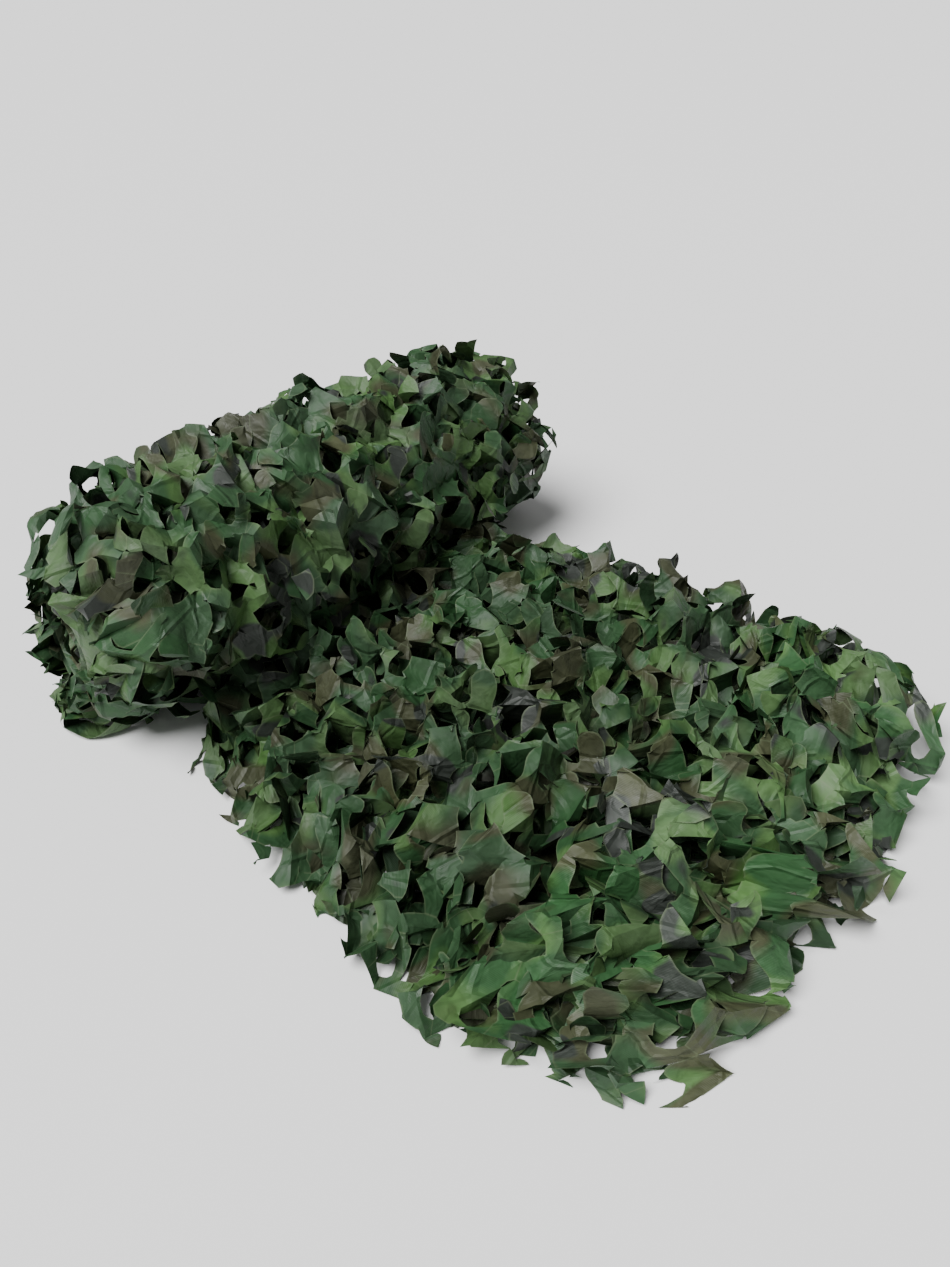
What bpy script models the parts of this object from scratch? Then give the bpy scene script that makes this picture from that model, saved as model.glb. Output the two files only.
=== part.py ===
"""Camouflage net: leaf-cut cloth folded once along its length, wound into a roll, with its last stretch unrolled.

Metres, +Z up. +X runs from the roll along the unrolled stretch, and Y is the roll's axis. The net rests on z = 0.
Two solids: the roll, one wound form with a flat spot below, and the loose end, a folded sheet of two layers that
is cut through between its leaves."""

import math
import random

import bmesh
import bpy
import numpy as np
from mathutils import Vector, geometry, noise

NAME = "camouflage_net"

# The roll
ROLL_SIDES = 50              # points round one turn
ROLL_STEPS = 38              # sections along the axis
END_RINGS = 7                # rings from the rim to the middle of an end
TURN_PITCH = 0.052           # from one turn to the next, as it shows on the ends
END_DEPTH = 0.024            # how far the turns of an end step out
NEAR_LEAN = 0.026            # how far the near end's foot sags out, and its top falls back
LEAN_LENGTH = 0.16           # how far along the roll that lean reaches
FLAT_SINK = 0.0045           # how far the wound form is pressed flat below
ROLL_LEAF = 0.050            # from one leaf of the roll to the next
ROLL_LIFT = 0.026            # how far its highest leaf tips stand off the turn below
PLAIN_REST = 24              # degrees beside the flat spot that stay plain
PLAIN_FRONT = 4              # degrees above the middle of the front from which leaves stand again
FRONT_FADE = 10              # degrees over which the leaves rise above that
LEAF_FADE = 0.02             # length over which they die out beside the seam

# The loose end
SHEET = 0.002                # thickness of its cloth
LEAF_PITCH = 0.069           # from one leaf cut to the next
ROW_PITCH = 0.060            # from one row of leaf cuts to the next
LEAF_TURN = 28               # degrees that a leaf cut turns at most from its row
TIP_LIFT = 0.021             # how far a leaf's tip curls up out of its gap
FOLD_DEPTH = 0.7             # the folded side's bend, from its edge inward, in shares of its half height
FOLD_REACH = 0.28            # share of the width over which the upper layer is led into the fold
PUFF = 0.016                 # height of the soft rises and hollows of the upper layer
CRUMPLE = 0.009              # how far any point of a strip tips up or down
STRIP = 0.011                # least width of cloth between a leaf cut and the outline
EDGE_STEP = 0.0145           # from one point of the outline to the next
EDGE_LEAF = 0.019            # how far the longest leaves of the outline reach out
LOWER_INSET = 0.032          # how far the lower layer stays inside the upper one
SEAM_GAP = 0.0006            # between the loose end and the roll that it comes off
SEAM_EASE = 0.0035           # how much wider that gap gets down to the floor
SEAM_HEIGHT = 0.104          # height at which the upper layer leaves the roll
LOWER_START = 0.068          # x at which the lower layer comes out from under the roll
SEAM_FROM = -0.338           # where along the roll the seam's plain stretch begins
SEAM_TO = 0.222              # and where it ends

# Sections of the roll, from its near end to its far one
ROLL_SECTIONS = (
    # y_m, radius_m, forward_m
    (-0.350, 0.1310, -0.004),
    (-0.322, 0.1400, -0.002),
    (-0.240, 0.1430, 0.000),
    (-0.110, 0.1415, 0.002),
    (0.040, 0.1400, 0.001),
    (0.190, 0.1370, -0.001),
    (0.305, 0.1340, -0.003),
    (0.343, 0.1260, -0.002),
)

# Sections of the loose end away from the roll: its open side and its folded side, and their heights
LOOSE_SECTIONS = (
    # x_m, open_side_y_m, folded_side_y_m, crown_m, fold_m
    (0.100, -0.320, 0.186, 0.104, 0.080),
    (0.215, -0.332, 0.232, 0.088, 0.082),
    (0.300, -0.341, 0.252, 0.092, 0.086),
    (0.390, -0.350, 0.272, 0.100, 0.092),
    (0.490, -0.362, 0.281, 0.090, 0.092),
    (0.580, -0.366, 0.283, 0.074, 0.082),
    (0.690, -0.330, 0.284, 0.054, 0.076),
    (0.760, -0.300, 0.278, 0.036, 0.056),
    (0.840, -0.240, 0.262, 0.020, 0.024),
)

# The front edge of the loose end, from its open side to its folded one
FRONT_EDGE = (
    # y_m, x_m
    (-0.366, 0.575),
    (-0.330, 0.690),
    (-0.286, 0.768),
    (-0.150, 0.806),
    (0.010, 0.824),
    (0.120, 0.806),
    (0.290, 0.750),
)

# The upper layer's height from its open side to its folded one
CROSS_PROFILE = (
    # share_of_width, share_of_crown
    (0.00, 0.10),
    (0.10, 0.40),
    (0.22, 0.80),
    (0.42, 1.00),
    (0.66, 0.90),
    (0.84, 0.98),
    (1.00, 1.00),
)

# One leaf cut: a gap that runs round three sides of a leaf
LEAF_CUT = (
    # across_share, along_share, curl_share
    (-0.36, 0.04, 0.0),
    (-0.24, -0.27, 0.0),
    (0.04, -0.36, 0.1),
    (0.28, -0.24, 0.0),
    (0.37, 0.06, 0.0),
    (0.23, 0.24, 0.0),
    (0.15, -0.04, 0.7),
    (-0.01, -0.16, 1.0),
    (-0.15, 0.00, 0.6),
    (-0.23, 0.24, 0.0),
)

# The leaves of the outline, point by point
EDGE_LEAVES = (
    (-0.45, 0.55, 1.00, 0.75, -0.20),
    (-0.60, 0.30, 0.90, 0.95, 0.40, -0.30),
    (-0.30, 0.80, 0.10),
    (-0.55, 1.00, 0.65, -0.35),
)


def column(table, place, value):
    """The value column of a table at a place in its first column, straight between rows."""
    return float(np.interp(place, [row[0] for row in table], [row[value] for row in table]))


def ease(value):
    """From 0 to 1 with a soft start and end."""
    value = min(max(value, 0.0), 1.0)
    return value * value * (3 - 2 * value)


# ---- the roll ----


def roll_front(y, z):
    """The x of the roll's plain surface, on its front, at a height."""
    radius = column(ROLL_SECTIONS, y, 1)
    drop = z - (radius - FLAT_SINK)
    return column(ROLL_SECTIONS, y, 2) + math.sqrt(max(radius ** 2 - drop ** 2, 0.0))


class Shingles:
    """Leaves laid over a roll's body: each one rises from its root to its tip and ends there in a step."""

    def __init__(self, girth, length, pitch, seed):
        chance = random.Random(seed)
        places = []
        for row in range(round(length / pitch) + 1):
            for place in range(round(girth / pitch)):
                round_it = (place + 0.5 * (row % 2) + chance.uniform(-0.3, 0.3)) * pitch
                along_it = (row + chance.uniform(-0.3, 0.3)) * pitch
                turn = chance.uniform(0, 2 * math.pi)
                places.append((round_it, along_it, turn, chance.uniform(0.0, 0.45), chance.uniform(0.4, 1.1)))
        self.leaves = np.array(places)
        self.girth = girth
        self.pitch = pitch

    def height(self, round_it, along_it):
        """The height over a place, from 0 at a root to 1 at the highest tip."""
        leaves = self.leaves
        across = round_it - leaves[:, 0]
        across -= self.girth * np.round(across / self.girth)
        along = along_it - leaves[:, 1]
        lengthwise = across * np.cos(leaves[:, 2]) + along * np.sin(leaves[:, 2])
        sideways = along * np.cos(leaves[:, 2]) - across * np.sin(leaves[:, 2])
        own = int(np.argmin((0.75 * lengthwise) ** 2 + (1.25 * sideways) ** 2))
        climb = lengthwise[own] / self.pitch + 0.4
        return min(max(leaves[own, 3] + leaves[own, 4] * climb, 0.0), 1.0)


def relief_share(angle, y):
    """How much of the leaves' relief shows: none on the flat spot, nor where the loose end leaves the roll."""
    from_down = abs((math.degrees(angle) + 90) % 360 - 180)
    share = ease((from_down - PLAIN_REST) / PLAIN_REST)
    if math.cos(angle) > 0:
        above_seam = (from_down - 90 - PLAIN_FRONT) / FRONT_FADE
        beside_seam = max(SEAM_FROM - y, y - SEAM_TO) / LEAF_FADE
        share = min(share, ease(max(above_seam, beside_seam)))
    return share


def roll_point(ring, angle, leaves):
    """A point of the roll: rings run from the near end's middle to the far one's, and angle 90 degrees is down."""
    near_y, far_y = ROLL_SECTIONS[0][0], ROLL_SECTIONS[-1][0]
    body = min(max((ring - END_RINGS) / ROLL_STEPS, 0.0), 1.0)
    y = near_y + body * (far_y - near_y)
    radius = column(ROLL_SECTIONS, y, 1)
    forward = column(ROLL_SECTIONS, y, 2)
    share = min(ring, 2 * END_RINGS + ROLL_STEPS - ring, END_RINGS) / END_RINGS
    if share < 1.0:
        outward = 1 if body == 1.0 else -1
        reach = radius * share
        y += outward * end_step(share, radius, angle, outward)
    else:
        tip = leaves.height(angle / (2 * math.pi) % 1.0 * leaves.girth, y - near_y)
        reach = radius + ROLL_LIFT * tip * relief_share(angle, y)
    height = max(radius - FLAT_SINK - reach * math.sin(angle), 0.0)
    near = ease(1 - (y - near_y) / LEAN_LENGTH)
    y += NEAR_LEAN * near * (height / radius - 1)
    return Vector((forward + reach * math.cos(angle), y, height))


def end_step(share, radius, angle, outward):
    """How far an end stands out at a share of its radius: the steps of its turns, crumpled, and nothing at its rim."""
    turns = radius * share / TURN_PITCH - outward * angle / (2 * math.pi)
    crumple = noise.noise(Vector((4 * share * math.cos(angle), 4 * share * math.sin(angle), 2.3 * outward)))
    step = 0.55 + 0.45 * math.cos(2 * math.pi * turns) + 0.6 * crumple
    return END_DEPTH * step * (1 - share ** 5)


def make_roll():
    """The wound form: a ball's rings drawn out into two ends of stepped turns and a body covered in leaves."""
    girth = 2 * math.pi * ROLL_SECTIONS[3][1]
    leaves = Shingles(girth, ROLL_SECTIONS[-1][0] - ROLL_SECTIONS[0][0], ROLL_LEAF, seed=11)
    rings = 2 * END_RINGS + ROLL_STEPS
    bm = bmesh.new()
    bmesh.ops.create_uvsphere(bm, u_segments=ROLL_SIDES, v_segments=rings, radius=1.0)
    for vert in bm.verts:
        ring = round(math.acos(max(-1.0, min(1.0, -vert.co.z))) / math.pi * rings)
        vert.co = roll_point(ring, math.atan2(vert.co.y, vert.co.x), leaves)
    return new_piece("roll", bm, colour=(0.045, 0.105, 0.050), roughness=0.6)


# ---- the loose end ----


def fold_size(x):
    """The folded side at x: its y, the half height and the depth of its bend, and half of the cloth in it."""
    half = column(LOOSE_SECTIONS, x, 4) / 2
    depth = FOLD_DEPTH * half
    return column(LOOSE_SECTIONS, x, 2), half, depth, 0.5 * math.pi * 0.5 * (half + depth)


def section(across, x):
    """Where the cloth lies at x, for a distance across it from its fold: y, z, and how far up it faces.

    The upper layer is on the positive side, and the lower one, flat on the floor, on the negative side."""
    fold_y, half, depth, bend = fold_size(x)
    if across > bend:
        y = fold_y - depth - (across - bend)
        return y, upper_height(x, y), 1.0
    if across < -bend:
        return fold_y - depth - (-bend - across), SHEET / 2, 0.0
    angle = 0.5 * math.pi * across / bend
    return fold_y - depth + depth * math.cos(angle), SHEET / 2 + half * (1 + math.sin(angle)), ease(across / bend)


def upper_height(x, y):
    """The upper layer's height over a place: its crown across the width, led into the fold at its side."""
    open_y = column(LOOSE_SECTIONS, x, 1)
    fold_y, half, depth, _ = fold_size(x)
    share = (y - open_y) / (fold_y - depth - open_y)
    crown = column(LOOSE_SECTIONS, x, 3) * column(CROSS_PROFILE, share, 1)
    into_fold = ease((share - 1 + FOLD_REACH) / FOLD_REACH)
    return SHEET / 2 + max(crown * (1 - into_fold) + 2 * half * into_fold, 0.007)


def half_width(x, layer):
    """The cloth from the fold to the open side at x, for the upper layer (1) or the lower one (-1)."""
    fold_y, _, depth, bend = fold_size(x)
    width = bend + fold_y - depth - column(LOOSE_SECTIONS, x, 1)
    return width if layer > 0 else LOWER_INSET - width


def start_x(across):
    """The x of the loose end's seam: the lower layer's start, then up the roll's front."""
    x = LOWER_START
    for _ in range(6):
        y, z, _ = section(across, x)
        gap = SEAM_GAP + SEAM_EASE * (1 - min(z / SEAM_HEIGHT, 1.0))
        x = max(LOWER_START, roll_front(y, min(z, SEAM_HEIGHT)) + gap)
    return x


def front_x(across):
    """The x of the front edge, where the lower layer is shorter."""
    inset = LOWER_INSET * ease(-across / 0.05)
    x = FRONT_EDGE[0][1]
    for _ in range(8):
        y, _, _ = section(across, x)
        x = 0.5 * (x + column(FRONT_EDGE, y, 1) - inset)
    return x


def stepped(length, step):
    """Shares from 0 to 1 in equal steps of about the size given."""
    count = max(round(length / step), 1)
    return [i / count for i in range(count)]


def outline():
    """The loose end laid out flat, as (across, x) points with the leaves of its open edges, and what is seam."""
    corner = FRONT_EDGE[0][1]
    low, high = half_width(LOWER_START, -1), half_width(LOWER_START, 1)
    seam = [(low + s * (high - low), start_x(low + s * (high - low))) for s in stepped(high - low, EDGE_STEP)]
    high_x = start_x(high)
    side = [(half_width(high_x + s * (corner - high_x), 1), high_x + s * (corner - high_x))
            for s in stepped(corner - high_x, EDGE_STEP)]
    left, right = half_width(corner, 1), half_width(corner - LOWER_INSET, -1)
    front = [(left + s * (right - left), front_x(left + s * (right - left)))
             for s in stepped(left - right, EDGE_STEP)]
    last_x = front_x(right)
    back = [(half_width(last_x + s * (LOWER_START - last_x), -1), last_x + s * (LOWER_START - last_x))
            for s in stepped(last_x - LOWER_START, EDGE_STEP)]
    return seam + leafy_edge(side + front + back), len(seam)


def leafy_edge(points):
    """An open edge with leaves of uneven shape and size that reach out from it."""
    chance = random.Random(5)
    reach = []
    while len(reach) < len(points):
        size = EDGE_LEAF * chance.uniform(0.35, 1.2)
        reach += [size * share for share in chance.choice(EDGE_LEAVES)]
    shaped = []
    for i, (across, x) in enumerate(points):
        before, after = points[max(i - 1, 0)], points[min(i + 1, len(points) - 1)]
        out = Vector((after[1] - before[1], before[0] - after[0])).normalized()
        if 1 < i < len(points) - 2:
            across, x = across + out.x * reach[i], x + out.y * reach[i]
        shaped.append((across, x))
    return shaped


def leaf_cuts(rim):
    """The gaps: rows of leaf cuts, turned about and set unevenly, wherever one fits inside the outline."""
    chance = random.Random(23)
    low = min(p[0] for p in rim)
    high = max(p[0] for p in rim)
    last = max(p[1] for p in rim)
    cuts = []
    row = 0
    x = LOWER_START
    while x < last:
        across = low + 0.5 * LEAF_PITCH * (row % 2)
        while across < high:
            centre = Vector((across + chance.uniform(-0.006, 0.006), x + chance.uniform(-0.006, 0.006)))
            turn = math.radians(chance.uniform(-LEAF_TURN, LEAF_TURN) + 180 * (row % 2))
            size = LEAF_PITCH * chance.uniform(0.88, 1.04)
            curl = chance.uniform(0.35, 1.0)
            cut = [(centre + size * turned(a, b, turn), curl * c) for a, b, c in LEAF_CUT]
            if all(inside(point, rim) and clear(point, rim) > STRIP for point, _ in cut):
                cuts.append(cut)
            across += LEAF_PITCH
        row += 1
        x += ROW_PITCH
    return cuts


def turned(a, b, turn):
    return Vector((a * math.cos(turn) - b * math.sin(turn), a * math.sin(turn) + b * math.cos(turn)))


def inside(point, rim):
    """Whether a flat point lies inside a closed outline."""
    found = False
    for (a0, b0), (a1, b1) in zip(rim, rim[1:] + rim[:1]):
        if (b0 > point[1]) != (b1 > point[1]) and point[0] < a0 + (point[1] - b0) * (a1 - a0) / (b1 - b0):
            found = not found
    return found


def clear(point, rim):
    """The distance from a flat point to the nearest stretch of an outline."""
    nearest = 1.0
    for start, end in zip(rim, rim[1:] + rim[:1]):
        start, end = Vector(start), Vector(end)
        on_it, share = geometry.intersect_point_line(Vector(point), start, end)
        on_it = start if share < 0 else end if share > 1 else on_it.to_2d()
        nearest = min(nearest, (Vector(point) - on_it).length)
    return nearest


def strip_points(cuts, rim):
    """Points on the cloth between the gaps, where its strips meet."""
    points = []
    loops = [[tuple(point) for point, _ in cut] for cut in cuts]
    for cut in cuts:
        middle = sum((point for point, _ in cut), Vector((0, 0))) / len(cut)
        for shift in (Vector((0.5 * LEAF_PITCH, 0.0)), Vector((0.0, 0.5 * ROW_PITCH))):
            point = middle + shift
            near = [loop for loop in loops if (Vector(loop[0]) - point).length < 1.5 * LEAF_PITCH]
            if inside(point, rim) and clear(point, rim) > 0.6 * STRIP:
                if not any(inside(point, loop) or clear(point, loop) < 0.45 * STRIP for loop in near):
                    points.append(tuple(point))
    return points


def make_loose_end():
    """The loose end: its outline and gaps are triangled flat, then laid out in two layers and given thickness."""
    rim, seam_count = outline()
    cuts = leaf_cuts(rim)
    flat = list(rim)
    curl = [0.0] * len(rim)
    edges = [(i, (i + 1) % len(rim)) for i in range(len(rim))]
    for cut in cuts:
        first = len(flat)
        flat += [tuple(point) for point, _ in cut]
        curl += [share for _, share in cut]
        edges += [(first + i, first + (i + 1) % len(cut)) for i in range(len(cut))]
    extra = strip_points(cuts, rim)
    flat += extra
    curl += [0.15] * len(extra)
    placed, _, triangles, origins, _, _ = geometry.delaunay_2d_cdt([Vector(p) for p in flat], edges, [], 0, 1e-6)
    loops = [[tuple(point) for point, _ in cut] for cut in cuts]
    chance = random.Random(31)
    tips = [chance.uniform(-1.0, 1.0) for _ in placed]
    bm = bmesh.new()
    verts = []
    for i, (across, x) in enumerate(placed):
        source = origins[i][0] if origins[i] else 0
        on_seam = source < seam_count
        verts.append(bm.verts.new(laid_point(across, x, curl[source], tips[i], on_seam)))
    for triangle in triangles:
        middle = sum((Vector(placed[i]) for i in triangle), Vector((0, 0))) / 3
        near = [loop for loop in loops if (Vector(loop[0]) - middle).length < 1.5 * LEAF_PITCH]
        if inside(middle, rim) and not any(inside(middle, loop) for loop in near):
            bm.faces.new([verts[i] for i in triangle])
    bmesh.ops.delete(bm, geom=[vert for vert in bm.verts if not vert.link_faces], context="VERTS")
    bmesh.ops.recalc_face_normals(bm, faces=bm.faces)
    piece = new_piece("loose_end", bm, colour=(0.055, 0.130, 0.060), roughness=0.55)
    cloth = piece.modifiers.new("cloth_thickness", "SOLIDIFY")
    cloth.thickness = SHEET
    cloth.offset = 0.0
    return piece


def laid_point(across, x, curl, tip, on_seam):
    """A point of the loose end's middle surface: its layer, with soft puffs, crumpled strips and curled tips."""
    y, z, upward = section(across, x)
    if on_seam:
        return Vector((x, y, z))
    near_seam = ease((x - start_x(across)) / 0.05)
    _, _, _, bend = fold_size(x)
    if across < -bend:
        from_fold = ease((-bend - across) / 0.06)
        up = (curl * TIP_LIFT * 0.8 + max(tip - 0.55, 0.0) * CRUMPLE) * ease((x - 0.13) / 0.06) * from_fold
        from_side = across - half_width(x, -1)
        return Vector((x, y, z + up * ease(from_side / 0.05) * ease((front_x(across) - x) / 0.05)))
    high = ease(z / 0.05) * upward * near_seam
    puff = PUFF * noise.noise(Vector((7 * x, 7 * y, 4.4)))
    up = high * (puff + CRUMPLE * tip) + (0.35 + 0.65 * high) * upward * near_seam * curl * TIP_LIFT
    return Vector((x, y, z + up))


def new_piece(name, bm, colour, roughness):
    """A named object in the net's collection, with its own material."""
    mesh = bpy.data.meshes.new(name)
    bm.to_mesh(mesh)
    bm.free()
    mesh.shade_smooth()
    mesh.set_sharp_from_angle(angle=math.radians(35))
    piece = bpy.data.objects.new(name, mesh)
    material = bpy.data.materials.new(name + "_cloth")
    material.use_nodes = True
    surface = material.node_tree.nodes["Principled BSDF"]
    surface.inputs["Base Color"].default_value = (*colour, 1.0)
    surface.inputs["Roughness"].default_value = roughness
    surface.inputs["Metallic"].default_value = 0.0
    mesh.materials.append(material)
    bpy.data.collections[NAME].objects.link(piece)
    return piece


def main():
    for old in list(bpy.data.objects):
        bpy.data.objects.remove(old, do_unlink=True)
    bpy.context.scene.collection.children.link(bpy.data.collections.new(NAME))
    make_roll()
    make_loose_end()


main()
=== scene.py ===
"""Camouflage net: leaf-cut cloth wound into a roll, with its loose end folded double on the floor.

Each sheet is cut flat, creased into crisp facets, and laid on the net's shapes in the CAD's own frame."""

import math

import bmesh
import bpy
import numpy as np
from mathutils import Matrix, Vector, geometry
from mathutils.kdtree import KDTree


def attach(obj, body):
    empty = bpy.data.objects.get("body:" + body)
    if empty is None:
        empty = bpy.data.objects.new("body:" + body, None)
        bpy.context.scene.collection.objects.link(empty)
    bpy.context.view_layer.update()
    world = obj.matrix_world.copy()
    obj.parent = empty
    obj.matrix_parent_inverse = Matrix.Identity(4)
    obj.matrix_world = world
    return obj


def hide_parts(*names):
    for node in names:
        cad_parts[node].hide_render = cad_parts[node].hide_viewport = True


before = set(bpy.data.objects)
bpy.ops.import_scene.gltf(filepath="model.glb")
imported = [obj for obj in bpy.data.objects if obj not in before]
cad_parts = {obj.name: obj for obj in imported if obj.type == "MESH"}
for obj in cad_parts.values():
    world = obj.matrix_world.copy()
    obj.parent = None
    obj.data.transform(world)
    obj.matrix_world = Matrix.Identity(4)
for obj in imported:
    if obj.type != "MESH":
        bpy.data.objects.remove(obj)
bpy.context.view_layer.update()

# ---- camera ----

IMAGE_HEIGHT = 1267  # pixels of the photograph's frame
FOCAL_PIXELS = 914.5
SENSOR_HEIGHT = 36.0
CAMERA_PLACE = (0.9096, -0.6425, 0.7891)
CAMERA_AZIMUTH = 43.63  # degrees, from +Y towards -X
CAMERA_DOWN = 38.55
CAMERA_ROLL = -2.48

# ---- floor and light ----

FLOOR_HALF = 60  # half of the floor's width
FLOOR_COLOUR, FLOOR_ROUGHNESS = (0.85, 0.85, 0.85), 0.8
SURROUND = 0.235  # strength of the even light
KEY_STRENGTH = 5.9
KEY_SOFTNESS = 40  # degrees that the key light spans
KEY_FROM = (-0.18, -0.48, 1.0)  # seen from the net

# ---- cut pattern ----

LEAF_ACROSS = 0.056  # from one leaf to the next in a row
LEAF_ALONG = 0.060  # from one row of leaves to the next
LEAF_LENGTH = 0.046  # from a leaf's root to its tip
LEAF_SIZES = (0.90, 1.06)  # its least and greatest share of that
LEAF_SHIFT = 0.003  # how far a leaf is moved at random, at most
LEAF_TURN = 0.24  # radians that it is turned, at most
LEAF_SLANT = 0.32  # how far its tip is moved sideways, in lengths, at most
TIP_BULGES = (-0.002, 0.006)  # how far the middle of its tip stands out
SHORT_LEAVES = 0.25  # share of the cuts that stop short
SHORT_LENGTHS = (0.64, 0.86)  # the least and greatest share left of those
LOST_LEAVES = (0.12, 0.95)  # a leaf is gone with a share between these outside
CUT_STEP = 0.0062  # from one point of a cut to the next
CURVE_POINTS = 12  # points of a smooth line for each it goes through
FINE_STEP = 0.0015  # between a line's points while it is cut off at the edges
CLOTH_STEP = 0.0108  # between the points inside the cloth
CLOTH_SHIFT = 0.001  # how far those are moved at random
CLOTH_MARGIN = 0.004  # how far they stay from the cloth's edges
CLOTH_GAP = 0.62  # and from cuts and creases, as a share of their step
RIM_GAP = 0.003  # from the edges' points to the cuts
ROW_PITCH = 0.866  # from one staggered row of points to the next, as a share of their step
LEAST_TRIANGLE = 2e-9  # square metres

# ---- creases ----

CREASE_PITCH = 0.050  # size of the facets between creases
CREASE_SHIFT = 0.36  # how far a facet's middle is moved at random, in pitches
SHORTEST_CREASE = 0.003
LONGEST_CREASE = 4  # in pitches
SMALL_FACET = 5  # a facet of fewer triangles joins its neighbour
SHARP_ANGLE = math.radians(30)  # a sharper bend than this shows as a crease
FACET_CURVE = 8.5  # how strongly the facets curl, in 1/m
SWING = (-1.9, 1.5)  # radians that a leaf swings down or up, at most
SWING_SHARES = (0.42, 1.0)  # its least and greatest share of that
HANGING = 0.90  # share of the leaves that swing down
CURLS = (-0.7, 0.9)  # radians that it curls towards its tip, least and greatest
LEAF_FREEDOM = 1.9  # how much further than the cloth leaves may stand off
WAVE_COUNT = 24  # waves in a pattern of hills
WAVE_LENGTHS = (0.7, 1.5)  # their least and greatest length, as shares of its
HILL_LENGTH = 0.075  # from one hill of crowded cloth to the next
BUMP_LENGTH, BUMP_HEIGHT = 0.45, 0.4  # bumps on those, as shares of them
UNEVEN = 0.0005  # how uneven crowded cloth is besides
SWEEPS, FREE_SWEEPS = 70, 4  # rounds in which it creases, the last of them free
FIT = 0.95  # share of the way that a point goes to its facets' shapes
HOLD = 0.05  # and back to its own place
PRESS = 0.4  # and back to where it may stand off

# One side of a leaf cut, from its flared end to the corner of the leaf's tip
LEAF_SIDES = {
    # (out_m, along_share)
    "round": (
        (0.0226, 0.16), (0.0168, 0.04), (0.0148, -0.16), (0.0156, -0.42), (0.0140, -0.70), (0.0076, -0.94)),
    "broad": (
        (0.0236, 0.14), (0.0166, 0.03), (0.0138, -0.18), (0.0158, -0.46), (0.0166, -0.72), (0.0120, -0.98)),
    "hooked": (
        (0.0232, -0.04), (0.0172, 0.03), (0.0136, -0.12), (0.0122, -0.38), (0.0142, -0.66), (0.0174, -0.93)),
    "waisted": (
        (0.0236, 0.08), (0.0158, 0.03), (0.0120, -0.16), (0.0134, -0.42), (0.0152, -0.68), (0.0104, -0.94)),
}

# ---- the net's shapes, as in the CAD ----

FLAT_SINK = 0.0045  # how far the roll is pressed flat below
NEAR_LEAN = 0.026  # how far its near end's foot stands out
LEAN_LENGTH = 0.16  # how far along the roll it reaches
FOLD_DEPTH = 0.7  # of the folded side's bend, in its half heights
FOLD_REACH = 0.28  # share of the width that is led into the fold
LOWER_INSET = 0.032  # of the lower layer inside the upper one
SEAM_HEIGHT = 0.104  # height at which the upper layer leaves the roll

# Sections of the roll, from its near end to its far one
ROLL_SECTIONS = (
    # y_m, radius_m, forward_m
    (-0.350, 0.1310, -0.004),
    (-0.322, 0.1400, -0.002),
    (-0.240, 0.1430, 0.000),
    (-0.110, 0.1415, 0.002),
    (0.040, 0.1400, 0.001),
    (0.190, 0.1370, -0.001),
    (0.305, 0.1340, -0.003),
    (0.343, 0.1260, -0.002),
)

# Sections of the loose end, away from the roll
LOOSE_SECTIONS = (
    # x_m, open_side_y_m, folded_side_y_m, crown_m, fold_m
    (0.100, -0.320, 0.186, 0.104, 0.080),
    (0.215, -0.332, 0.232, 0.088, 0.082),
    (0.300, -0.341, 0.252, 0.092, 0.086),
    (0.390, -0.350, 0.272, 0.100, 0.092),
    (0.490, -0.362, 0.281, 0.090, 0.092),
    (0.580, -0.366, 0.283, 0.074, 0.082),
    (0.690, -0.330, 0.284, 0.054, 0.076),
    (0.760, -0.300, 0.278, 0.036, 0.056),
    (0.840, -0.240, 0.262, 0.020, 0.024),
)

# The front edge of the loose end, from its open side to its folded one
FRONT_EDGE = (
    # y_m, x_m
    (-0.366, 0.575),
    (-0.330, 0.690),
    (-0.286, 0.768),
    (-0.150, 0.806),
    (0.010, 0.824),
    (0.120, 0.806),
    (0.290, 0.750),
)

# The upper layer's height from its open side to its folded one
CROSS_PROFILE = (
    # share_of_width, share_of_crown
    (0.00, 0.10),
    (0.10, 0.40),
    (0.22, 0.80),
    (0.42, 1.00),
    (0.66, 0.90),
    (0.84, 0.98),
    (1.00, 1.00),
)

# ---- how the cloth lies on them ----

ROLL_START = math.radians(-8)  # where the roll's turns end on its outside, from its front up
NEAR_SAG = 0.055  # how far the near end's foot has slid back
SAG_LENGTH = 0.25  # how far along the roll that reaches
SAG_TOP, SAG_RISE = 1.35, 1.2  # height at which it ends, and over which it grows, in radii
LIP_LENGTH = 0.040  # the stretch at the roll's ends that turns in
FAR_LIP = 0.4  # of the far end, as a share of the near one's
SWELL_FROM, SWELL_RISE = -0.31, 0.10  # y from which the roll is fuller, and over which length
SWELL_TO, SWELL_FALL = 0.00, 0.14  # y up to which it is, and over which length that ends
RIPPLE_ALONG, RIPPLE_ROUND = 70, 2.3  # radians of ripple a metre along and a radian round
LEAST_PLACE = 0.001  # the roll's least height over the floor

# The smooth cloth over the roll's near end
SKIRT_RIMS = (-0.346, -0.373)  # y at which it turns round the rim, foot and top
SKIRT_ROUND = 0.034  # how softly it turns there
SKIRT_SPREAD = 0.018  # how far its foot slides out at the end's back
SKIRT_FRONTS = (0.014, 0.062)  # its reach along the front, foot and top
SKIRT_ENDS = (0.118, 0.100)  # its reach over the end, foot and top
SKIRT_FOOT, SKIRT_TOP = -76, 36  # degrees round the roll, from its front up
SKIRT_SHARE = 1.10  # how far out it lies, as a share of the roll's radius

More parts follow.
